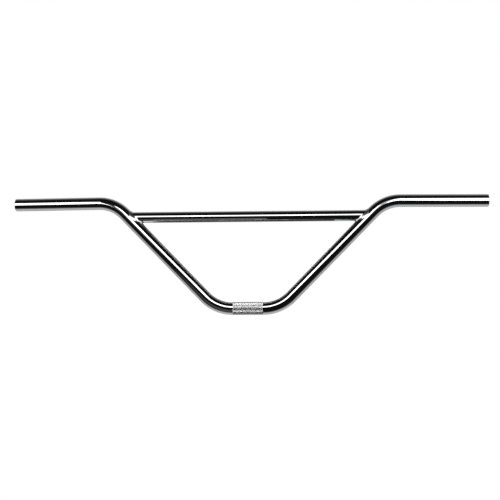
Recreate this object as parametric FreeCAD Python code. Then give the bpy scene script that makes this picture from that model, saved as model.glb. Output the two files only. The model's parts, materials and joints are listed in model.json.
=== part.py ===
"""Cruiser handlebar: one bent tube, with a crossbar coped and welded between its legs.

The origin is the centre of the stem clamp. +X runs along the clamp to one grip,
+Y runs back towards the rider, and +Z is up.
"""
import FreeCAD, Part
import math
import os
from FreeCAD import Vector

# Driving dimensions, in millimetres and degrees

overall_width = 838.2       # over the outer rims of the two grip ends
rise = 190.5                # clamp axis to the centre of a grip end
backsweep = 8.0             # how far the grips turn back
upsweep = 1.0               # how far the grips turn up
leg_angle = 45.8            # slope of the legs

tube_diameter = 22.2
tube_wall = 1.4
clamp_length = 53.0         # straight run between the lower bends, which the stem holds
lower_bend_radius = 66.6    # to the centre of the tube
upper_bend_radius = 66.6
rim_break = 0.4             # chamfer round the outer rims of the tube's cut ends

crossbar_height = 161.6     # clamp axis to crossbar axis
crossbar_diameter = 19.05
crossbar_wall = 1.2
vent_diameter = 5.0         # drilled through each leg into the crossbar before welding

weld_leg = 5.0              # root of the bead to its toe, along either tube
weld_throat = 1.8           # least thickness of the bead over its root
weld_crown = 0.3            # least height of the bead's face over a straight line between its toes
weld_sections = 24          # profiles that the bead is lofted through, round each joint

# Sizes that follow from them

tube_radius = tube_diameter / 2
bore_radius = tube_radius - tube_wall
crossbar_radius = crossbar_diameter / 2
weld_overlap = min(tube_wall, crossbar_wall)    # how far the bead's blank runs into the tubes

leg_slope = math.radians(leg_angle)
sweep = math.radians(backsweep)
climb = math.radians(upsweep)
grip_axis = Vector(math.cos(sweep) * math.cos(climb), math.sin(sweep) * math.cos(climb), math.sin(climb))

# The path of the tube has four corners: where the clamp and the legs would cross,
# and where the legs and the grips would cross. Every corner is rounded by a bend.
end_x = overall_width / 2 - (tube_radius - rim_break) * math.sqrt(1 - grip_axis.x ** 2)
clamp_corner = Vector(clamp_length / 2 + lower_bend_radius * math.tan(leg_slope / 2), 0, 0)
grip_run = (end_x - clamp_corner.x - rise / math.tan(leg_slope)) / (
    grip_axis.x - grip_axis.z / math.tan(leg_slope))
grip_corner_z = rise - grip_run * grip_axis.z
grip_corner = Vector(clamp_corner.x + grip_corner_z / math.tan(leg_slope), 0, grip_corner_z)
grip_end = grip_corner + grip_axis * grip_run
leg_x = clamp_corner.x + crossbar_height / math.tan(leg_slope)


def mirrored(point):
    """The same place on the other side of the bar."""
    return Vector(-point.x, point.y, point.z)


def bent_path(corners, radii):
    """Straight runs through the corners, with an arc of its own radius tangent at each inner one."""
    edges = []
    start = corners[0]
    for before, corner, after, radius in zip(corners, corners[1:], corners[2:], radii):
        arriving = (corner - before).normalize()
        leaving = (after - corner).normalize()
        turn = arriving.getAngle(leaving)
        setback = radius * math.tan(turn / 2)
        inward = (leaving - arriving).normalize()
        arc_start = corner - arriving * setback
        arc_middle = corner + inward * (radius / math.cos(turn / 2) - radius)
        arc_end = corner + leaving * setback
        edges.append(Part.LineSegment(start, arc_start).toShape())
        edges.append(Part.Arc(arc_start, arc_middle, arc_end).toShape())
        start = arc_end
    edges.append(Part.LineSegment(start, corners[-1]).toShape())
    return Part.Wire(edges)


def swept_rod(path, radius):
    """A solid rod of round section along the path."""
    section = Part.makeCircle(radius, path.Vertexes[0].Point, path.Edges[0].tangentAt(0))
    return path.makePipe(Part.Face(Part.Wire(section)))


def nearest_on(path, point):
    """The place on the path that is closest to the point."""
    return Part.Vertex(point).distToShape(path)[1][0][1]


def make_main_tube(path, rod):
    """The bent tube: outer rims chamfered, bored right through, and vented into the crossbar."""
    ends = (grip_end, mirrored(grip_end))
    rims = [edge for edge in rod.Edges
            if isinstance(edge.Curve, Part.Circle)
            and min(edge.Curve.Center.distanceToPoint(end) for end in ends) < rim_break]
    tube = rod.makeChamfer(rim_break, rims).cut(swept_rod(path, bore_radius))
    for side in (-1, 1):
        vent = Part.makeCylinder(vent_diameter / 2, 2 * tube_diameter,
                                 Vector(side * leg_x, 0, crossbar_height), Vector(-side, 0, 0))
        tube = tube.cut(vent)
    return tube


def crossbar_rod(radius):
    """A solid rod between the centres of the legs, on the crossbar's axis."""
    return Part.makeCylinder(radius, 2 * leg_x, Vector(-leg_x, 0, crossbar_height), Vector(1, 0, 0))


def make_crossbar(rod):
    """The straight brace, with both ends coped to the outside of the legs."""
    tube = crossbar_rod(crossbar_radius).cut(crossbar_rod(crossbar_radius - crossbar_wall))
    return tube.cut(rod)


def weld_profile(path, rod, angle):
    """The section of the right bead's blank at one angle round the crossbar.

    Its face is an arc from toe to toe that runs on into both tubes, and its root lies inside them.
    """
    crossbar_normal = Vector(0, math.cos(angle), math.sin(angle))
    start = Vector(0, 0, crossbar_height) + crossbar_normal * crossbar_radius
    generator = Part.makeLine(start, start + Vector(leg_x, 0, 0))
    seam = max((vertex.Point for vertex in generator.cut(rod).Vertexes), key=lambda point: point.x)
    tube_normal = (seam - nearest_on(path, seam)).normalize()
    outward = (crossbar_normal + tube_normal).normalize()

    along_crossbar = (tube_normal - crossbar_normal * tube_normal.dot(crossbar_normal)).normalize()
    beside_crossbar = seam + along_crossbar * weld_leg
    crossbar_centre = Vector(beside_crossbar.x, 0, crossbar_height)
    crossbar_toe = crossbar_centre + (beside_crossbar - crossbar_centre).normalize() * crossbar_radius

    along_tube = (crossbar_normal - tube_normal * crossbar_normal.dot(tube_normal)).normalize()
    beside_tube = seam + along_tube * weld_leg
    tube_centre = nearest_on(path, beside_tube)
    tube_toe = tube_centre + (beside_tube - tube_centre).normalize() * tube_radius

    flat_height = ((crossbar_toe + tube_toe) * 0.5 - seam).dot(outward)
    crown = seam + outward * max(flat_height + weld_crown, weld_throat)
    face = Part.Arc(crossbar_toe, crown, tube_toe).toShape()
    overrun = weld_overlap / face.Curve.Radius
    face = face.Curve.toShape(face.FirstParameter - overrun, face.LastParameter + overrun)
    root = seam - outward * weld_overlap
    flanks = Part.makePolygon([face.Vertexes[-1].Point, root, face.Vertexes[0].Point])
    return Part.Wire([face] + flanks.Edges)


def make_right_weld(path, rod):
    """The bead all round one end of the crossbar, trimmed by both tubes so that it lies on them.

    The loft starts and ends under the crossbar, in the narrow corner of the joint.
    """
    angles = [2 * math.pi * step / weld_sections - math.pi / 2 for step in range(weld_sections)]
    profiles = [weld_profile(path, rod, angle) for angle in angles]
    blank = Part.makeLoft(profiles, True, False, True)
    return blank.cut(rod).cut(crossbar_rod(crossbar_radius))


def main():
    """Write each piece to a file of its own."""
    corners = [mirrored(grip_end), mirrored(grip_corner), mirrored(clamp_corner),
               clamp_corner, grip_corner, grip_end]
    radii = [upper_bend_radius, lower_bend_radius, lower_bend_radius, upper_bend_radius]
    path = bent_path(corners, radii)
    rod = swept_rod(path, tube_radius)
    right_weld = make_right_weld(path, rod)
    pieces = {
        "main_tube": make_main_tube(path, rod),
        "crossbar": make_crossbar(rod),
        "left_weld": right_weld.mirror(Vector(0, 0, 0), Vector(1, 0, 0)),
        "right_weld": right_weld,
    }
    os.makedirs("parts", exist_ok=True)
    for name, piece in pieces.items():
        piece.exportStep(f"parts/{name}.step")


main()
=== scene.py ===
"""Cruiser handlebar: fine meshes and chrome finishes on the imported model, and a studio to see them in.

Lengths are in metres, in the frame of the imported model: the origin is the centre of the stem clamp,
+X runs along the clamp, +Y runs back towards the rider and +Z is up.
"""

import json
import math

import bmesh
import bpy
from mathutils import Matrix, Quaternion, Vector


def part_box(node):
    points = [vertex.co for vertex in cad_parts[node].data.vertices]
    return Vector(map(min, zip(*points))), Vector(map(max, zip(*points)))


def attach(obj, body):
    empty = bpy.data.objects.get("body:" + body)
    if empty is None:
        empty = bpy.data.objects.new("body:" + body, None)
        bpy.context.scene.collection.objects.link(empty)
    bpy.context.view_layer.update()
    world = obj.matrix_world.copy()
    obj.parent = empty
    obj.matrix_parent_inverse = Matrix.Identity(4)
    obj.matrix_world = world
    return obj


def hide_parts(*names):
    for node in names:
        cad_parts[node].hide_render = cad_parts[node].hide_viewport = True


bl_info = {
    "name": "Cruiser Handlebar",
    "version": (1, 0, 0),
    "blender": (4, 5, 0),
    "location": "3D Viewport > Sidebar > Handlebar",
    "description": "Builds a chromed cruiser handlebar with a knurled clamp and a welded crossbar",
    "category": "Add Mesh",
}

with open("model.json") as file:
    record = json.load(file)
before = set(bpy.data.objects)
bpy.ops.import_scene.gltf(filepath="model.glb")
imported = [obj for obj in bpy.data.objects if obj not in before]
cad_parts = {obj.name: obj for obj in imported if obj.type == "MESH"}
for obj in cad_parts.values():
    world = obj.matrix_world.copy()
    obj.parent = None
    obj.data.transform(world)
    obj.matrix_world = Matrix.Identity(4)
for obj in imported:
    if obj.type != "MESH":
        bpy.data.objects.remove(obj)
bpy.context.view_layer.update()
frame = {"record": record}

MM = 0.001
WHITE = (1, 1, 1, 1)

# Names of the values that the meshes hand to the finishes at each point
UNBENT = "unbent"       # where the point lay on the tube before it was bent
GROOVE = "groove"       # 1 in the grooves of the knurl, 0 elsewhere

# What the five numbers of a sheet in the studio are, for one that stands and for one that lies
STANDING_EDGES = "Left, right, lower and upper edge and corner radius of the "
LYING_EDGES = "Left, right, front and back edge and corner radius of the "

# Place of the right leg in the list of the tube's stretches
RIGHT_LEG = -3

# Rounds after which the slope of the legs and the place of a seam no longer change
SLOPE_ROUNDS = 30
SEAM_ROUNDS = 40

# How much rougher a finish is where its pattern is strongest
HAZE_GAIN = 0.02
LINE_GAIN = 0.01
SPECK_GAIN = 0.06
WELD_HAZE_GAIN = 0.06
KNURL_GROOVE_GAIN = 0.14
KNURL_GRAIN_GAIN = 0.06
BORE_BLOOM_GAIN = 0.3

# The bare bore, and how much of its metal look the rust takes away
BORE_METALLIC = 0.8
BORE_RUST_LOSS = 0.6
BORE_ROUGHNESS = 0.45

# How the marks of drawing are squeezed along the tube, so that they turn into long lines
PLATE_LINES = (0.02, 1, 1)
BORE_LINES = (0.03, 1, 1)

mounts = {mount["name"]: mount for mount in frame["record"]["mounts"]}
crossbar_low, crossbar_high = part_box("crossbar")


def mount_size(name, size):
    """A size of one of the record's mounts."""
    return mounts[name]["dims"][size] * MM


class TubeSizes(bpy.types.PropertyGroup):
    """Sizes of the bent tube and of the crossbar between its legs."""

    tube_radius: bpy.props.FloatProperty(
        name="Tube radius", description="Outside radius of the bent tube",
        default=mount_size("right_grip", "r_mm"), unit="LENGTH")
    bore_radius: bpy.props.FloatProperty(
        name="Bore radius", description="Inside radius of the bent tube",
        default=mount_size("right_bar_end", "r_mm"), unit="LENGTH")
    clamp_length: bpy.props.FloatProperty(
        name="Clamp length", description="Straight run between the lower bends",
        default=mount_size("stem_clamp", "length_mm"), unit="LENGTH")
    bend_radius: bpy.props.FloatProperty(
        name="Bend radius", description="Radius of every bend, to the centre of the tube",
        default=66.6 * MM, unit="LENGTH")
    rim_break: bpy.props.FloatProperty(
        name="Rim break", description="Chamfer round the outer rims of the cut ends",
        default=0.4 * MM, unit="LENGTH")
    crossbar_radius: bpy.props.FloatProperty(
        name="Crossbar radius", description="Outside radius of the crossbar",
        default=(crossbar_high.z - crossbar_low.z) / 2, unit="LENGTH")
    crossbar_height: bpy.props.FloatProperty(
        name="Crossbar height", description="Clamp axis to crossbar axis",
        default=(crossbar_high.z + crossbar_low.z) / 2, unit="LENGTH")
    crossbar_wall: bpy.props.FloatProperty(
        name="Crossbar wall", description="Wall of the crossbar",
        default=1.2 * MM, unit="LENGTH")


class KnurlSizes(bpy.types.PropertyGroup):
    """Sizes of the diamond knurl that is rolled into the clamp zone."""

    diamonds_around: bpy.props.IntProperty(
        name="Diamonds around", description="Diamonds in one turn round the tube, an even number",
        default=96, min=8, step=2)
    diamond_length: bpy.props.FloatProperty(
        name="Diamond length", description="Length of a diamond along the tube",
        default=0.8 * MM, unit="LENGTH")
    flat_share: bpy.props.FloatProperty(
        name="Flat share", description="Size of the flat on top of a diamond, as a share of the diamond",
        default=0.45, min=0.05, max=0.95, subtype="FACTOR")
    crest: bpy.props.FloatProperty(
        name="Crest", description="Height of the flats over the tube",
        default=0.04 * MM, unit="LENGTH")
    groove: bpy.props.FloatProperty(
        name="Groove", description="Depth of the grooves under the tube's surface",
        default=0.10 * MM, unit="LENGTH")
    end_wall: bpy.props.FloatProperty(
        name="End wall", description="Length over which the knurl starts and stops",
        default=0.15 * MM, unit="LENGTH")
    lead: bpy.props.FloatProperty(
        name="Lead", description="Plain tube between the knurl and the bends",
        default=0.3 * MM, unit="LENGTH")


class WeldSizes(bpy.types.PropertyGroup):
    """Sizes of the bead round each end of the crossbar."""

    tube_leg: bpy.props.FloatProperty(
        name="Leg on the tube", description="From the seam to the toe of the bead on the bent tube",
        default=4.5 * MM, unit="LENGTH")
    crossbar_leg: bpy.props.FloatProperty(
        name="Leg on the crossbar", description="From the seam to the toe of the bead on the crossbar",
        default=3.5 * MM, unit="LENGTH")
    crown: bpy.props.FloatProperty(
        name="Crown", description="How far the face swells where the corner between the tubes is open",
        default=0.8 * MM, unit="LENGTH")
    blend: bpy.props.FloatProperty(
        name="Blend",
        description="How far the face follows each tube before it bends, as a share of its width",
        default=0.4, min=0.05, max=0.6, subtype="FACTOR")
    root_depth: bpy.props.FloatProperty(
        name="Root depth", description="How far the bead's root lies inside the tubes",
        default=1.2 * MM, unit="LENGTH")
    ripple: bpy.props.FloatProperty(
        name="Ripple", description="Height of the ripples along the bead",
        default=0.02 * MM, unit="LENGTH")
    ripple_pitch: bpy.props.FloatProperty(
        name="Ripple pitch", description="Length of one ripple",
        default=1.8 * MM, unit="LENGTH")


class FinishLook(bpy.types.PropertyGroup):
    """Colours and gloss of the plating, the knurl and the bare bore."""

    plate_colour: bpy.props.FloatVectorProperty(
        name="Plate", description="Colour of clean chrome plate",
        default=(0.80, 0.80, 0.81), subtype="COLOR", min=0, max=1)
    haze_colour: bpy.props.FloatVectorProperty(
        name="Haze", description="Colour of the plate where it is a little clouded",
        default=(0.74, 0.75, 0.77), subtype="COLOR", min=0, max=1)
    plate_roughness: bpy.props.FloatProperty(
        name="Plate roughness", description="Roughness of clean chrome plate",
        default=0.03, min=0, max=1, subtype="FACTOR")
    weld_roughness: bpy.props.FloatProperty(
        name="Weld roughness", description="Roughness of the plate over the welds",
        default=0.20, min=0, max=1, subtype="FACTOR")
    knurl_roughness: bpy.props.FloatProperty(
        name="Knurl roughness", description="Roughness of the knurl's flats",
        default=0.22, min=0, max=1, subtype="FACTOR")
    knurl_colour: bpy.props.FloatVectorProperty(
        name="Knurl", description="Colour of the plate on the knurl's diamonds",
        default=(0.95, 0.95, 0.96), subtype="COLOR", min=0, max=1)
    # Darker colour of the knurl's grooves: grime, and painted shade where the grooves lie in shade
    groove_grime_and_shade_colour: bpy.props.FloatVectorProperty(
        name="Groove", description="Colour of the plate deep in the knurl's grooves",
        default=(0.80, 0.80, 0.81), subtype="COLOR", min=0, max=1)
    bore_colour: bpy.props.FloatVectorProperty(
        name="Bore", description="Colour of the bare steel inside the tubes",
        default=(0.20, 0.19, 0.18), subtype="COLOR", min=0, max=1)
    rust_colour: bpy.props.FloatVectorProperty(
        name="Rust", description="Colour of the thin rust inside the tubes",
        default=(0.16, 0.09, 0.05), subtype="COLOR", min=0, max=1)


class StudioLook(bpy.types.PropertyGroup):
    """Camera, floor and lights."""

    aim_height: bpy.props.FloatProperty(
        name="Aim height", description="Height on the handlebar's centre line that the camera turns about",
        default=93 * MM, unit="LENGTH")
    camera_distance: bpy.props.FloatProperty(
        name="Camera distance", description="Distance of the camera from the point it turns about",
        default=2.7, unit="LENGTH")
    camera_turn: bpy.props.FloatProperty(
        name="Camera turn", description="How far the camera stands round to the right",
        default=math.radians(4.397), unit="ROTATION")
    camera_tilt: bpy.props.FloatProperty(
        name="Camera tilt", description="How far the camera looks up",
        default=math.radians(8.398), unit="ROTATION")
    camera_roll: bpy.props.FloatProperty(
        name="Camera roll", description="How far the picture is turned clockwise",
        default=math.radians(0.205), unit="ROTATION")
    camera_lens: bpy.props.FloatProperty(
        name="Camera lens", description="Focal length for a sensor 36 mm wide",
        default=111.64, subtype="DISTANCE_CAMERA", unit="CAMERA")
    camera_shift: bpy.props.FloatVectorProperty(
        name="Camera shift", description="Framing of the picture, as shares of its width",
        default=(0.0032, 0.0106), size=2)
    floor_drop: bpy.props.FloatProperty(
        name="Floor drop", description="Height of the clamp axis over the floor",
        default=0.45, unit="LENGTH")
    floor_size: bpy.props.FloatProperty(
        name="Floor size", description="Width and depth of the floor",
        default=10.0, unit="LENGTH")
    floor_colour: bpy.props.FloatVectorProperty(
        name="Floor", description="Colour of the floor",
        default=(0.86, 0.86, 0.86), subtype="COLOR", min=0, max=1)
    backdrop_colour: bpy.props.FloatVectorProperty(
        name="Backdrop", description="Colour behind the handlebar, as the camera sees it",
        default=(1.0, 1.0, 1.0), subtype="COLOR", min=0, max=1)
    back_light: bpy.props.FloatProperty(
        name="Back light", description="Brightness of the studio behind the handlebar",
        default=0.55, min=0)
    front_light: bpy.props.FloatProperty(
        name="Front light", description="Brightness of the dark studio round the camera",
        default=0.006, min=0)
    panel_light: bpy.props.FloatProperty(
        name="Panel light", description="Brightness of the four bright panels",
        default=2.4, min=0)
    panel_distance: bpy.props.FloatProperty(
        name="Panel distance", description="Distance of the panels from the clamp, in front and behind",
        default=0.80, unit="LENGTH")
    left_panel: bpy.props.FloatVectorProperty(
        name="Left panel", description=STANDING_EDGES + "left panel",
        default=(-2.4, -0.62, 0.0, 0.54, 0.14), size=5, unit="LENGTH")
    front_panel: bpy.props.FloatVectorProperty(
        name="Front panel", description=STANDING_EDGES + "front panel",
        default=(-0.46, 0.30, 0.16, 0.47, 0.12), size=5, unit="LENGTH")
    right_panel: bpy.props.FloatVectorProperty(
        name="Right panel", description=STANDING_EDGES + "right panel",
        default=(0.40, 2.4, 0.0, 0.72, 0.35), size=5, unit="LENGTH")
    back_panel: bpy.props.FloatVectorProperty(
        name="Back panel", description=STANDING_EDGES + "panel behind",
        default=(-2.4, 2.4, 0.24, 0.46, 0.06), size=5, unit="LENGTH")
    gap_depth: bpy.props.FloatProperty(
        name="Gap depth", description="How far the dim panels stand behind the bright ones",
        default=10 * MM, unit="LENGTH")
    left_gap: bpy.props.FloatVectorProperty(
        name="Left gap", description=STANDING_EDGES + "left dim panel",
        default=(-0.68, -0.42, 0.02, 0.32, 0.05), size=5, unit="LENGTH")
    left_gap_light: bpy.props.FloatProperty(
        name="Left gap light", description="Brightness of the dim panel in the left gap",
        default=0.13, min=0)
    right_gap: bpy.props.FloatVectorProperty(
        name="Right gap", description=STANDING_EDGES + "right dim panel",
        default=(0.18, 0.50, 0.15, 0.60, 0.05), size=5, unit="LENGTH")
    right_gap_light: bpy.props.FloatProperty(
        name="Right gap light", description="Brightness of the dim panel in the right gap",
        default=0.50, min=0)
    shade_height: bpy.props.FloatProperty(
        name="Shade height", description="Height over the clamp of the two sheets below the crossbar",
        default=0.125, unit="LENGTH")
    shade: bpy.props.FloatVectorProperty(
        name="Shade", description=LYING_EDGES + "dark sheet",
        default=(-0.172, 0.15, -0.0024, 0.0355, 0.008), size=5, unit="LENGTH")
    shade_light: bpy.props.FloatProperty(
        name="Shade light", description="Brightness of the dark sheet below the crossbar",
        default=0.035, min=0)
    glimmer: bpy.props.FloatVectorProperty(
        name="Glimmer", description=LYING_EDGES + "dim sheet",
        default=(-0.172, 0.03, -0.0387, -0.0109, 0.008), size=5, unit="LENGTH")
    glimmer_light: bpy.props.FloatProperty(
        name="Glimmer light", description="Brightness of the dim sheet below the crossbar",
        default=0.12, min=0)
    card_place: bpy.props.FloatVectorProperty(
        name="Card place", description="Centre of the dim card on the left",
        default=(-0.22, -0.19, -0.12), subtype="TRANSLATION", unit="LENGTH")
    card_turn: bpy.props.FloatProperty(
        name="Card turn", description="How far the dim card on the left is turned",
        default=math.radians(27), unit="ROTATION")
    card: bpy.props.FloatVectorProperty(
        name="Card", description=LYING_EDGES + "card, from its centre",
        default=(-0.22, 0.22, -0.065, 0.065, 0.03), size=5, unit="LENGTH")
    card_light: bpy.props.FloatProperty(
        name="Card light", description="Brightness of the dim card on the left",
        default=0.07, min=0)


class HandlebarSettings(bpy.types.PropertyGroup):
    """Everything about the handlebar that can be set."""

    tube: bpy.props.PointerProperty(name="Tube", description="Sizes of the tubes", type=TubeSizes)
    knurl: bpy.props.PointerProperty(name="Knurl", description="Sizes of the knurl", type=KnurlSizes)
    weld: bpy.props.PointerProperty(name="Weld", description="Sizes of the welds", type=WeldSizes)
    finish: bpy.props.PointerProperty(name="Finish", description="Colours and gloss", type=FinishLook)
    studio: bpy.props.PointerProperty(name="Studio", description="Camera, floor and lights", type=StudioLook)


class Straight:
    """A straight stretch of the tube's centre line."""

    def __init__(self, start, end):
        self.start = start
        self.end = end
        self.length = (end - start).length
        self.arriving = (end - start).normalized()

    def turned(self, share):
        """How far the tube has turned at a share of the stretch."""
        return Quaternion()

    def point(self, share):
        """The place at a share of the stretch."""
        return self.start.lerp(self.end, share)

    def nearest(self, point):
        """The place on the stretch that is closest to the point."""
        share = (point - self.start).dot(self.arriving) / self.length
        return self.point(min(max(share, 0), 1))


class Bend:
    """A stretch of the tube's centre line that is bent to an arc at a corner."""

    def __init__(self, before, corner, after, radius):
        leaving = (after - corner).normalized()
        self.arriving = (corner - before).normalized()
        self.angle = self.arriving.angle(leaving)
        setback = radius * math.tan(self.angle / 2)
        self.start = corner - self.arriving * setback
        self.end = corner + leaving * setback
        self.axis = self.arriving.cross(leaving).normalized()
        self.centre = self.start + self.axis.cross(self.arriving) * radius
        self.length = radius * self.angle

    def turned(self, share):
        """How far the tube has turned at a share of the stretch."""
        return Quaternion(self.axis, self.angle * share)

    def point(self, share):
        """The place at a share of the stretch."""
        return self.centre + self.turned(share) @ (self.start - self.centre)

    def nearest(self, point):
        """The place on the stretch that is closest to the point."""
        offset = point - self.centre
        angle = math.atan2(offset.dot(self.arriving), offset.dot((self.start - self.centre).normalized()))
        return self.point(min(max(angle / self.angle, 0), 1))


def mirrored(point):
    """The same place on the other side of the handlebar."""
    return Vector((-point.x, point.y, point.z))


def tube_stretches(tube):
    """The tube's centre line from left to right: grip, bend, leg, bend, clamp, and the same in reverse."""
    mouth_mount = mounts["right_bar_end"]
    grip_axis = Vector(mouth_mount["axis"])
    mouth = Vector(mouth_mount["pos_m"]) + grip_axis * (mount_size("right_bar_end", "length_mm") / 2)
    grip_corner = mouth - grip_axis * (mouth.y / grip_axis.y)

    # The legs' slope sets how far out the lower bends reach, and that sets the slope.
    slope = math.pi / 4
    for _ in range(SLOPE_ROUNDS):
        clamp_corner = Vector((tube.clamp_length / 2 + tube.bend_radius * math.tan(slope / 2), 0, 0))
        slope = math.atan2(grip_corner.z, grip_corner.x - clamp_corner.x)

    right = [clamp_corner, grip_corner, mouth]
    corners = [mirrored(corner) for corner in reversed(right)] + right
    stretches = []
    start = corners[0]
    for before, corner, after in zip(corners, corners[1:], corners[2:]):
        bend = Bend(before, corner, after, tube.bend_radius)
        stretches += [Straight(start, bend.start), bend]
        start = bend.end
    return stretches + [Straight(start, corners[-1])]


def shortened(stretches, cut):
    """The same centre line with a little cut off both ends."""
    first = stretches[0]
    last = stretches[-1]
    return [Straight(first.start + first.arriving * cut, first.end), *stretches[1:-1],
            Straight(last.start, last.end - last.arriving * cut)]


def nearest_on(stretches, point):
    """The place on the tube's centre line that is closest to the point."""
    return min((stretch.nearest(point) for stretch in stretches), key=lambda place: (place - point).length)


def seam_point(stretches, tube, angle, radius):
    """Where a line along the crossbar, at an angle round it, runs into the outside of the right leg."""
    line = Vector((0, radius * math.cos(angle), tube.crossbar_height + radius * math.sin(angle)))
    leg = stretches[RIGHT_LEG]
    outside = 0.0
    inside = leg.start.x + leg.arriving.x * (tube.crossbar_height - leg.start.z) / leg.arriving.z
    for _ in range(SEAM_ROUNDS):
        line.x = (outside + inside) / 2
        if (line - nearest_on(stretches, line)).length > tube.tube_radius:
            outside = line.x
        else:
            inside = line.x
    return line


class Station:
    """A place along the tube, with two directions across it and its distance from the left mouth."""

    def __init__(self, centre, tangent, side, along):
        self.centre = centre
        self.side = side
        self.other = tangent.cross(side)
        self.along = along

    def point(self, angle, radius):
        """A point beside the centre line."""
        return self.centre + (self.side * math.cos(angle) + self.other * math.sin(angle)) * radius

    def unbent(self, angle, radius):
        """Where that point lay before the tube was bent."""
        return Vector((self.along, math.cos(angle) * radius, math.sin(angle) * radius))


def tube_stations(stretches, straight_step, bend_step):
    """A list of stations for each stretch, from its start to its end."""
    tangent = stretches[0].arriving
    side = tangent.cross(Vector((0, 0, 1))).normalized()
    along = 0.0
    found = []
    for stretch in stretches:
        step = bend_step if isinstance(stretch, Bend) else straight_step
        count = max(1, math.ceil(stretch.length / step))
        stations = []
        for index in range(count + 1):
            share = index / count
            turned = stretch.turned(share)
            stations.append(Station(stretch.point(share), turned @ stretch.arriving, turned @ side,
                                    along + stretch.length * share))
        side = stretch.turned(1) @ side
        along += stretch.length
        found.append(stations)
    return found


class ClosedMesh:
    """Points and faces of one closed piece, with a finish for each face."""

    def __init__(self):
        self.points = []
        self.unbent = []
        self.groove = []
        self.faces = []
        self.face_finish = []

    def point(self, place, unbent, groove=0.0):
        """Adds a point and returns its number."""
        self.points.append(place)
        self.unbent.append(unbent)
        self.groove.append(groove)
        return len(self.points) - 1

    def ring(self, station, radius, count):
        """Adds a ring of points round the tube and returns their numbers."""
        angles = [2 * math.pi * index / count for index in range(count)]
        return [self.point(station.point(angle, radius), station.unbent(angle, radius)) for angle in angles]

    def face(self, corners, finish=0):
        """Adds a face."""
        self.faces.append(corners)
        self.face_finish.append(finish)

    def bridge(self, first, second, finish=0):
        """Joins two rings of as many points with a band of faces."""
        for index in range(len(first)):
            after = (index + 1) % len(first)
            self.face((first[index], first[after], second[after], second[index]), finish)

    def bridge_all(self, rings, finish=0):
        """Joins each ring to the next one."""
        for first, second in zip(rings, rings[1:]):
            self.bridge(first, second, finish)

    def widen(self, coarse, fine, finish=0):
        """Joins a ring to one of twice as many points."""
        for index in range(len(coarse)):
            after = (index + 1) % len(coarse)
            near, middle, far = (fine[(2 * index + step) % len(fine)] for step in range(3))
            self.face((coarse[index], middle, near), finish)
            self.face((coarse[index], coarse[after], middle), finish)
            self.face((coarse[after], far, middle), finish)

    def build(self, name, finishes, sharp_angle=math.radians(25)):
        """Makes the piece as an object, smooth but for its edges, and gives it its finishes."""
        mesh = bpy.data.meshes.new(name)
        mesh.from_pydata(self.points, [], self.faces)
        for finish in finishes:
            mesh.materials.append(finish)
        mesh.polygons.foreach_set("material_index", self.face_finish)
        unbent = mesh.attributes.new(UNBENT, "FLOAT_VECTOR", "POINT")
        unbent.data.foreach_set("vector", [value for place in self.unbent for value in place])
        groove = mesh.attributes.new(GROOVE, "FLOAT", "POINT")
        groove.data.foreach_set("value", self.groove)

        shape = bmesh.new()
        shape.from_mesh(mesh)
        bmesh.ops.recalc_face_normals(shape, faces=shape.faces)
        if any(not edge.is_manifold for edge in shape.edges):
            raise RuntimeError(f"{name} isn't closed")
        if shape.calc_volume(signed=True) < 0:
            bmesh.ops.reverse_faces(shape, faces=shape.faces)
        shape.to_mesh(mesh)
        shape.free()

        mesh.shade_smooth()
        mesh.set_sharp_from_angle(angle=sharp_angle)
        piece = bpy.data.objects.new(name, mesh)
        bpy.context.scene.collection.objects.link(piece)
        return piece


class Value:
    """A shader value that Python arithmetic can use: each operation adds a Math node."""

    def __init__(self, finish, socket):
        self.finish = finish
        self.socket = socket

    def also(self, output):
        """Another output of the node that this value comes from."""
        return Value(self.finish, self.socket.node.outputs[output])

    def _math(self, operation, first, second):
        return self.finish.node("ShaderNodeMath", {"operation": operation}, {0: first, 1: second})

    def __add__(self, other):
        return self._math("ADD", self, other)

    def __radd__(self, other):
        return self._math("ADD", other, self)

    def __sub__(self, other):
        return self._math("SUBTRACT", self, other)

    def __rsub__(self, other):
        return self._math("SUBTRACT", other, self)

    def __mul__(self, other):
        return self._math("MULTIPLY", self, other)

    def __rmul__(self, other):
        return self._math("MULTIPLY", other, self)


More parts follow.
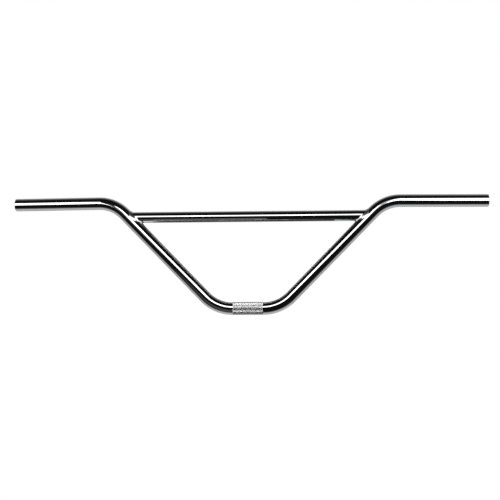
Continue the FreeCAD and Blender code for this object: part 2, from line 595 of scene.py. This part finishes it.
class Finish:
    """The nodes of one material or of the studio's surroundings."""

    def __init__(self, owner):
        owner.use_nodes = True
        self.tree = owner.node_tree
        self.tree.nodes.clear()

    def node(self, kind, settings, sockets, output=0):
        """Adds a node with its settings and the values or links of its sockets, and returns one output."""
        node = self.tree.nodes.new(kind)
        for name, setting in settings.items():
            setattr(node, name, setting)
        for name, value in sockets.items():
            if isinstance(value, Value):
                self.tree.links.new(value.socket, node.inputs[name])
            else:
                node.inputs[name].default_value = value
        return Value(self, node.outputs[output]) if node.outputs else None

    def point_value(self, name, output="Vector"):
        """A value that the mesh holds at its points."""
        return self.node("ShaderNodeAttribute", {"attribute_name": name}, {}, output)

    def stretched(self, vector, scale):
        """A vector scaled along each axis."""
        return self.node("ShaderNodeVectorMath", {"operation": "MULTIPLY"}, {0: vector, 1: scale})

    def noise(self, vector, scale, detail=2.0):
        """Soft noise from 0 to 1, with so many bumps in a metre."""
        return self.node("ShaderNodeTexNoise", {}, {"Vector": vector, "Scale": scale, "Detail": detail})

    def step(self, value, low, high):
        """0 under low, 1 over high and smooth between them."""
        return self.node("ShaderNodeMapRange", {"interpolation_type": "SMOOTHSTEP"},
                         {"Value": value, "From Min": low, "From Max": high})

    def mixed(self, factor, first, second):
        """A colour between two colours."""
        colour_a, colour_b, colour_result = 6, 7, 2
        colours = {"Factor": factor, colour_a: opaque(first), colour_b: opaque(second)}
        return self.node("ShaderNodeMix", {"data_type": "RGBA"}, colours, colour_result)

    def bump(self, height, depth, strength):
        """A normal for a fine relief of that depth."""
        return self.node("ShaderNodeBump", {}, {"Height": height, "Distance": depth, "Strength": strength})

    def surface(self, sockets):
        """Ends a material with one shader."""
        shader = self.node("ShaderNodeBsdfPrincipled", {}, sockets)
        self.node("ShaderNodeOutputMaterial", {}, {"Surface": shader})


def opaque(colour):
    """A colour with full alpha, or a link as it is."""
    return colour if isinstance(colour, Value) else (*colour, 1.0)


def finish_for(name):
    """A new material and its nodes."""
    material = bpy.data.materials.new(name)
    return material, Finish(material)


def chrome_plate(look):
    """Bright plate: faint lines along the drawn tube, a little haze, and specks where the plate is thin."""
    material, finish = finish_for("chrome_plate")
    place = finish.point_value(UNBENT)
    lines = finish.noise(finish.stretched(place, PLATE_LINES), scale=2500, detail=3)
    haze = finish.noise(place, scale=45, detail=3)
    clouded = finish.step(haze, low=0.35, high=0.75)
    specks = finish.step(finish.noise(place, scale=900), low=0.72, high=0.78)
    finish.surface({
        "Base Color": finish.mixed(clouded, look.plate_colour, look.haze_colour),
        "Metallic": 1.0,
        "Roughness": look.plate_roughness + HAZE_GAIN * haze + LINE_GAIN * lines + SPECK_GAIN * specks,
        "Normal": finish.bump(lines, depth=0.002 * MM, strength=0.05),
    })
    return material


def weld_plate(look):
    """Plate over a weld: softer than on the tube, with a fine uneven grain."""
    material, finish = finish_for("weld_plate")
    place = finish.point_value(UNBENT)
    grain = finish.noise(place, scale=1400, detail=3)
    haze = finish.noise(place, scale=160)
    finish.surface({
        "Base Color": finish.mixed(haze, look.plate_colour, look.haze_colour),
        "Metallic": 1.0,
        "Roughness": look.weld_roughness + WELD_HAZE_GAIN * haze,
        "Normal": finish.bump(grain, depth=0.03 * MM, strength=0.15),
    })
    return material


def knurl_plate(look):
    """Plate over the knurl: satin flats and duller grooves, whose darker colour is grime and painted shade.
    """
    material, finish = finish_for("knurl_plate")
    place = finish.point_value(UNBENT)
    groove = finish.point_value(GROOVE, "Fac")
    # The grooves get a darker colour than the flats: grime, and painted shade in the recesses
    deep = finish.step(groove, low=0.55, high=1.0)
    grain = finish.noise(place, scale=3000)
    finish.surface({
        "Base Color": finish.mixed(deep, look.knurl_colour, look.groove_grime_and_shade_colour),
        "Metallic": 1.0,
        "Roughness": look.knurl_roughness + KNURL_GROOVE_GAIN * groove + KNURL_GRAIN_GAIN * grain,
        "Normal": finish.bump(grain, depth=0.02 * MM, strength=0.2),
    })
    return material


def bare_bore(look):
    """The unplated inside of a tube: dull steel with a thin bloom of rust and lines from drawing."""
    material, finish = finish_for("bare_bore")
    place = finish.point_value(UNBENT)
    lines = finish.noise(finish.stretched(place, BORE_LINES), scale=900, detail=3)
    bloom = finish.noise(place, scale=220, detail=4)
    rust = finish.step(bloom, low=0.48, high=0.70)
    finish.surface({
        "Base Color": finish.mixed(rust, look.bore_colour, look.rust_colour),
        "Metallic": BORE_METALLIC - BORE_RUST_LOSS * rust,
        "Roughness": BORE_ROUGHNESS + BORE_BLOOM_GAIN * bloom,
        "Normal": finish.bump(lines + bloom, depth=0.1 * MM, strength=0.3),
    })
    return material


def dressed(piece, slot, *nodes):
    """Fixes a piece to the handlebar in place of its solids."""
    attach(piece, "root")
    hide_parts(*nodes)


def add_knurl(mesh, start, finish, tube, knurl):
    """Adds the knurl on the clamp from a station on, and returns a plain ring at either end of it.

    Grooves cross between the diamonds, and each diamond has a flat on top. Places are counted in half
    diamonds, and grooves cross where the two counts add up to an even number. The rings have three points
    for each diamond.
    """
    length = tube.clamp_length - 2 * (knurl.lead + knurl.end_wall)
    rows = 2 * knurl.diamonds_around
    columns = 2 * round(length / knurl.diamond_length)
    column_length = length / columns
    axis = start.side.cross(start.other)
    known = {}

    def placed(along, row, radius, groove=0.0):
        """Adds a point at a distance from the station."""
        angle = 2 * math.pi * row / rows
        return mesh.point(start.point(angle, radius) + axis * along,
                          start.unbent(angle, radius) + Vector((along, 0, 0)), groove)

    def lattice(column, row, radius, groove):
        """The point at a place of the pattern, which is added once."""
        key = (round(column, 3), round(row % rows, 3))
        if key not in known:
            along = knurl.lead + knurl.end_wall + column * column_length
            known[key] = placed(along, row, radius, groove)
        return known[key]

    def valley(column, row):
        return lattice(column, row, tube.tube_radius - knurl.groove, 1.0)

    def flat(column, row):
        return lattice(column, row, tube.tube_radius + knurl.crest, 0.0)

    share = knurl.flat_share
    for column in range(columns + 1):
        steps = [(-1, 0), (0, -1), (1, 0), (0, 1)]
        if column == 0:
            steps = [(0, -1), (1, 0), (0, 1)]
        if column == columns:
            steps = [(0, 1), (-1, 0), (0, -1)]
        whole = len(steps) == 4
        for row in range((column + 1) % 2, rows, 2):
            low = [valley(column + step, row + turn) for step, turn in steps]
            high = [flat(column + share * step, row + share * turn) for step, turn in steps]
            mesh.face(high, finish)
            for index in range(4 if whole else 2):
                after = (index + 1) % len(steps)
                mesh.face((low[index], low[after], high[after], high[index]), finish)

    def end_ring(column, along):
        """A ring on the plain tube, joined to the pattern's last points."""
        pattern = []
        plain = []
        for row in range(0, rows, 2):
            edges = (row + 1 - share, row + 1 + share)
            pattern += [valley(column, row), *(flat(column, edge) for edge in edges)]
            plain += [placed(along, place, tube.tube_radius) for place in (row, *edges)]
        mesh.bridge(plain, pattern, finish)
        return plain

    return end_ring(0, knurl.lead), end_ring(columns, tube.clamp_length - knurl.lead)


class HANDLEBAR_OT_bent_tube(bpy.types.Operator):
    """Build the bent tube, from one open end to the other, with its knurled clamp zone"""

    bl_idname = "handlebar.bent_tube"
    bl_label = "Bent Tube"

    # Farthest that rings of points lie apart on the straights, on the bends and in the bore's bends
    straight_step = 24 * MM
    bend_step = 2 * MM
    bore_step = 6 * MM

    def execute(self, context):
        settings = context.scene.handlebar
        tube = settings.tube
        knurl = settings.knurl
        plate, knurled, bare = range(3)
        finishes = [chrome_plate(settings.finish), knurl_plate(settings.finish), bare_bore(settings.finish)]
        around = 3 * knurl.diamonds_around // 2     # half as many as in the rings of the knurl
        stretches = tube_stretches(tube)
        outside = tube_stations(shortened(stretches, tube.rim_break), self.straight_step, self.bend_step)
        inside = tube_stations(stretches, self.straight_step, self.bore_step)
        clamp = len(stretches) // 2
        mesh = ClosedMesh()

        def rings(runs, radius):
            """A ring at each station, and only one where two stretches meet."""
            stations = runs[0][:1] + [station for run in runs for station in run[1:]]
            return [mesh.ring(station, radius, around) for station in stations]

        left = rings(outside[:clamp], tube.tube_radius)
        right = rings(outside[clamp + 1:], tube.tube_radius)
        bore = rings(inside, tube.bore_radius)
        mesh.bridge_all(left, plate)
        mesh.bridge_all(right, plate)
        mesh.bridge_all(bore, bare)
        left_edge, right_edge = add_knurl(mesh, outside[clamp][0], knurled, tube, knurl)
        mesh.widen(left[-1], left_edge, plate)
        mesh.widen(right[0], right_edge, plate)

        rim_radius = tube.tube_radius - tube.rim_break
        left_rim = mesh.ring(inside[0][0], rim_radius, around)
        right_rim = mesh.ring(inside[-1][-1], rim_radius, around)
        mesh.bridge_all([left[0], left_rim, bore[0]], plate)
        mesh.bridge_all([right[-1], right_rim, bore[-1]], plate)
        dressed(mesh.build("bent_tube", finishes), "chrome_tube", "main_tube")
        return {"FINISHED"}


class HANDLEBAR_OT_crossbar(bpy.types.Operator):
    """Build the crossbar, with both ends coped to the outside of the legs"""

    bl_idname = "handlebar.crossbar"
    bl_label = "Crossbar"

    around = 128        # points in a ring
    along = 24          # bands from end to end

    def execute(self, context):
        settings = context.scene.handlebar
        tube = settings.tube
        plate, bare = range(2)
        finishes = [bpy.data.materials["chrome_plate"], bpy.data.materials["bare_bore"]]
        stretches = tube_stretches(tube)
        angles = [2 * math.pi * index / self.around for index in range(self.around)]
        mesh = ClosedMesh()

        def rings(radius):
            """Rings from the left end to the right one, which slope more and more towards the ends."""
            seam = [seam_point(stretches, tube, angle, radius) for angle in angles]
            found = []
            for index in range(self.along + 1):
                reach = 2 * index / self.along - 1
                places = [Vector((point.x * reach, point.y, point.z)) for point in seam]
                found.append([mesh.point(place, place) for place in places])
            return found

        outer = rings(tube.crossbar_radius)
        inner = rings(tube.crossbar_radius - tube.crossbar_wall)
        mesh.bridge_all(outer, plate)
        mesh.bridge_all(inner, bare)
        mesh.bridge(outer[0], inner[0], bare)
        mesh.bridge(outer[-1], inner[-1], bare)
        dressed(mesh.build("crossbar_tube", finishes), "chrome_tube", "crossbar")
        return {"FINISHED"}


def bead_section(stretches, tube, weld, angle):
    """The right bead at an angle round the crossbar: its root, and the four points that shape its face."""
    crossbar_normal = Vector((0, math.cos(angle), math.sin(angle)))
    seam = seam_point(stretches, tube, angle, tube.crossbar_radius)
    tube_normal = (seam - nearest_on(stretches, seam)).normalized()
    outward = (crossbar_normal + tube_normal).normalized()
    openness = (1 + crossbar_normal.dot(tube_normal)) / 2

    def toe(away, centre_of, radius):
        """Where the face ends on one of the tubes, and the normal of the tube there."""
        beside = seam + away
        centre = centre_of(beside)
        normal = (beside - centre).normalized()
        return centre + normal * radius, normal

    def crossbar_centre(place):
        return Vector((place.x, 0, tube.crossbar_height))

    def tube_centre(place):
        return nearest_on(stretches, place)

    def across(direction, normal):
        """The part of a direction that lies along a surface."""
        return (direction - normal * direction.dot(normal)).normalized()

    first, first_normal = toe(across(tube_normal, crossbar_normal) * weld.crossbar_leg,
                              crossbar_centre, tube.crossbar_radius)
    last, last_normal = toe(across(crossbar_normal, tube_normal) * weld.tube_leg,
                            tube_centre, tube.tube_radius)
    reach = (last - first) * weld.blend
    swell = outward * weld.crown * openness ** 2
    handle = across(reach, first_normal) * reach.length + swell
    other_handle = across(-reach, last_normal) * reach.length + swell
    return seam - outward * weld.root_depth, (first, first + handle, last + other_handle, last)


def curve_point(corners, share):
    """A place on the smooth curve that four corners shape."""
    while len(corners) > 1:
        corners = [place.lerp(after, share) for place, after in zip(corners, corners[1:])]
    return corners[0]


class HANDLEBAR_OT_weld_beads(bpy.types.Operator):
    """Build the weld bead round each end of the crossbar"""

    bl_idname = "handlebar.weld_beads"
    bl_label = "Weld Beads"

    stations = 240      # sections round the crossbar
    steps = 16          # bands across the face
    ripple_lag = 0.4    # how far a ripple trails in the middle of the face, as a share of its length

    def execute(self, context):
        settings = context.scene.handlebar
        weld = settings.weld
        stretches = tube_stretches(settings.tube)
        finish = weld_plate(settings.finish)
        sections = [bead_section(stretches, settings.tube, weld, 2 * math.pi * index / self.stations)
                    for index in range(self.stations)]
        middles = [curve_point(corners, 0.5) for root, corners in sections]
        lengths = [(after - middle).length for middle, after in zip(middles, middles[1:] + middles[:1])]
        ripples = round(sum(lengths) / weld.ripple_pitch)

        for side, mirror in (("left", True), ("right", False)):
            mesh = ClosedMesh()
            along = 0.0
            rings = []
            for (root, corners), middle, length in zip(sections, middles, lengths):
                outward = (middle - root).normalized()
                phase = ripples * along / sum(lengths)
                ring = []
                for step in range(self.steps + 1):
                    share = step / self.steps
                    arch = 4 * share * (1 - share)      # 0 at both toes and 1 half way
                    wave = math.cos(2 * math.pi * (phase + self.ripple_lag * arch))
                    ripple = weld.ripple * arch * wave
                    ring.append((curve_point(corners, share) + outward * ripple,
                                 Vector((along, share * weld.tube_leg, 0))))
                ring.append((root, Vector((along, 0, weld.tube_leg))))
                if mirror:
                    ring = [(mirrored(place), unbent) for place, unbent in ring]
                rings.append([mesh.point(place, unbent) for place, unbent in ring])
                along += length
            mesh.bridge_all(rings + rings[:1])
            dressed(mesh.build(f"{side}_weld_bead", [finish]), "chrome_weld", f"{side}_weld")
        return {"FINISHED"}


def stage_sheet(name, points, faces, material):
    """Adds a plain sheet of the studio."""
    mesh = bpy.data.meshes.new(name)
    mesh.from_pydata(points, [], faces)
    mesh.materials.append(material)
    sheet = bpy.data.objects.new(name, mesh)
    bpy.context.scene.collection.objects.link(sheet)
    return sheet


class HANDLEBAR_OT_studio(bpy.types.Operator):
    """Build the floor, the lights and the camera"""

    bl_idname = "handlebar.studio"
    bl_label = "Studio"

    corner_steps = 12       # points round each corner of a panel

    # A reflected ray has a part that points back and a part that points up. The studio is dark up to one
    # backward part and bright from another, and both change with the upward part.
    back_lean = 0.12
    dark_until = -0.25
    dark_lean = 0.10
    bright_from = 0.65
    bright_lean = 0.20

    # Rays that point back and are nearly level, by the square of their upward part, are dimmed again.
    level_until = 0.03
    steep_from = 0.16
    dim_after = 0.15
    dimmed_from = 0.55
    dim_share = 0.96

    # The floor is pale out to one share of its size and white from another.
    pale_share = 0.16
    white_share = 0.48
    floor_roughness = 0.75
    floor_grain_gain = 0.15

    def execute(self, context):
        studio = context.scene.handlebar.studio
        context.scene.view_settings.view_transform = "Standard"
        self.add_surroundings(context, studio)
        self.add_floor(studio)
        self.add_panels(studio)
        self.add_camera(context, studio)
        return {"FINISHED"}

    def add_surroundings(self, context, studio):
        """White to the camera and the floor; in reflections dark in front and behind, and bright between."""
        world = bpy.data.worlds.new("studio")
        context.scene.world = world
        finish = Finish(world)
        way = finish.node("ShaderNodeTexCoord", {}, {}, "Generated")
        backwards = finish.node("ShaderNodeSeparateXYZ", {}, {"Vector": way}, "Y")
        upwards = backwards.also("Z")
        brightening = finish.step(backwards - self.back_lean * upwards,
                                  low=self.dark_until - self.dark_lean * upwards,
                                  high=self.bright_from + self.bright_lean * upwards)
        level = 1 - finish.step(upwards * upwards, low=self.level_until, high=self.steep_from)
        pointing_back = finish.step(backwards, low=self.dim_after, high=self.dimmed_from)
        dimming = 1 - self.dim_share * level * pointing_back

        def glow(strength, colour=WHITE):
            """An even light from all round."""
            return finish.node("ShaderNodeBackground", {}, {"Strength": strength, "Color": colour})

        def mix(factor, first, second):
            """A blend of two lights."""
            return finish.node("ShaderNodeMixShader", {}, {0: factor, 1: first, 2: second})

        in_reflections = mix(brightening * dimming, glow(studio.front_light), glow(studio.back_light))
        reflected = finish.node("ShaderNodeLightPath", {}, {}, "Is Glossy Ray")
        seen = mix(reflected, glow(1.0, opaque(studio.backdrop_colour)), in_reflections)
        finish.node("ShaderNodeOutputWorld", {}, {"Surface": seen})

    def add_floor(self, studio):
        """A pale floor that fades into the white behind it."""
        material, finish = finish_for("pale_floor")
        place = finish.node("ShaderNodeTexCoord", {}, {}, "Object")
        reach = finish.node("ShaderNodeVectorMath", {"operation": "LENGTH"}, {0: place}, "Value")
        grain = finish.noise(place, scale=6, detail=4)
        pale = finish.node("ShaderNodeBsdfPrincipled", {}, {
            "Base Color": opaque(studio.floor_colour),
            "Roughness": self.floor_roughness + self.floor_grain_gain * grain,
            "Normal": finish.bump(grain, depth=1 * MM, strength=0.1),
        })
        white = finish.node("ShaderNodeEmission", {}, {"Color": opaque(studio.backdrop_colour)})
        fade = finish.step(reach, low=self.pale_share * studio.floor_size,
                           high=self.white_share * studio.floor_size)
        surface = finish.node("ShaderNodeMixShader", {}, {0: fade, 1: pale, 2: white})
        finish.node("ShaderNodeOutputMaterial", {}, {"Surface": surface})

        half = studio.floor_size / 2
        corners = [(-half, -half, 0), (half, -half, 0), (half, half, 0), (-half, half, 0)]
        floor = stage_sheet("floor", corners, [(0, 1, 2, 3)], material)
        floor.location.z = -studio.floor_drop
        floor.visible_glossy = False

    def add_panels(self, studio):
        """Lights that only reflections see.

        Bright panels stand in front and behind, dim ones stand in the gaps between those in front, and dim
        sheets that glow upwards lie below the crossbar and on the left.
        """
        upright = Matrix.Rotation(math.pi / 2, 4, "X")
        ahead = Matrix.Translation((0, -studio.panel_distance, 0)) @ upright
        deeper = Matrix.Translation((0, -studio.gap_depth, 0)) @ ahead
        behind = Matrix.Translation((0, studio.panel_distance, 0)) @ upright
        below = Matrix.Translation((0, 0, studio.shade_height))
        beside = Matrix.Translation(studio.card_place) @ Matrix.Rotation(studio.card_turn, 4, "Z")
        self.add_panel("left_panel", studio.left_panel, ahead, studio.panel_light)
        self.add_panel("front_panel", studio.front_panel, ahead, studio.panel_light)
        self.add_panel("right_panel", studio.right_panel, ahead, studio.panel_light)
        self.add_panel("left_gap", studio.left_gap, deeper, studio.left_gap_light)
        self.add_panel("right_gap", studio.right_gap, deeper, studio.right_gap_light)
        self.add_panel("back_panel", studio.back_panel, behind, studio.panel_light)
        self.add_panel("dark_sheet", studio.shade, below, studio.shade_light, one_sided=True)
        self.add_panel("dim_sheet", studio.glimmer, below, studio.glimmer_light, one_sided=True)
        self.add_panel("left_card", studio.card, beside, studio.card_light, one_sided=True)

    def add_panel(self, name, edges, place, light, one_sided=False):
        """A flat panel with round corners that glows evenly, from both sides or only from its upper one."""
        left, right, low, high, corner = edges
        points = []
        count = 4 * self.corner_steps
        for index in range(count):
            turn = 2 * math.pi * (index + 0.5) / count
            across = right - corner if math.cos(turn) > 0 else left + corner
            up = high - corner if math.sin(turn) > 0 else low + corner
            points.append((across + corner * math.cos(turn), up + corner * math.sin(turn), 0))
        material, finish = finish_for(name)
        surface = finish.node("ShaderNodeEmission", {}, {"Strength": light, "Color": WHITE})
        if one_sided:
            behind = finish.node("ShaderNodeNewGeometry", {}, {}, "Backfacing")
            clear = finish.node("ShaderNodeBsdfTransparent", {}, {})
            surface = finish.node("ShaderNodeMixShader", {}, {0: behind, 1: surface, 2: clear})
        finish.node("ShaderNodeOutputMaterial", {}, {"Surface": surface})
        panel = stage_sheet(name, points, [range(len(points))], material)
        panel.matrix_world = place
        panel.visible_camera = False
        panel.visible_diffuse = False
        panel.visible_shadow = False

    def add_camera(self, context, studio):
        """A camera that turns about a point on the handlebar's centre line."""
        lens = bpy.data.cameras.new("camera")
        lens.lens = studio.camera_lens
        lens.shift_x, lens.shift_y = studio.camera_shift
        camera = bpy.data.objects.new("camera", lens)
        camera.matrix_world = (
            Matrix.Translation((0, 0, studio.aim_height))
            @ Matrix.Rotation(studio.camera_turn, 4, "Z")
            @ Matrix.Rotation(studio.camera_tilt, 4, "X")
            @ Matrix.Rotation(-studio.camera_roll, 4, "Y")
            @ Matrix.Translation((0, -studio.camera_distance, 0))
            @ Matrix.Rotation(math.pi / 2, 4, "X"))
        context.scene.collection.objects.link(camera)
        context.scene.camera = camera


OPERATORS = (HANDLEBAR_OT_bent_tube, HANDLEBAR_OT_crossbar, HANDLEBAR_OT_weld_beads, HANDLEBAR_OT_studio)


class HANDLEBAR_PT_build(bpy.types.Panel):
    """Buttons that build the handlebar and the studio"""

    bl_idname = "HANDLEBAR_PT_build"
    bl_label = "Cruiser Handlebar"
    bl_space_type = "VIEW_3D"
    bl_region_type = "UI"
    bl_category = "Handlebar"

    def draw(self, context):
        for operator in OPERATORS:
            self.layout.operator(operator.bl_idname)


CLASSES = (TubeSizes, KnurlSizes, WeldSizes, FinishLook, StudioLook, HandlebarSettings,
           *OPERATORS, HANDLEBAR_PT_build)


def register():
    """Adds the classes and the settings to Blender."""
    for added in CLASSES:
        bpy.utils.register_class(added)
    bpy.types.Scene.handlebar = bpy.props.PointerProperty(
        name="Handlebar", description="Settings of the handlebar", type=HandlebarSettings)


def unregister():
    """Takes the settings and the classes away again."""
    del bpy.types.Scene.handlebar
    for added in reversed(CLASSES):
        bpy.utils.unregister_class(added)


def main():
    """Builds the handlebar and the studio."""
    register()
    bpy.ops.handlebar.bent_tube()
    bpy.ops.handlebar.crossbar()
    bpy.ops.handlebar.weld_beads()
    bpy.ops.handlebar.studio()


if __name__ == "__main__":
    main()
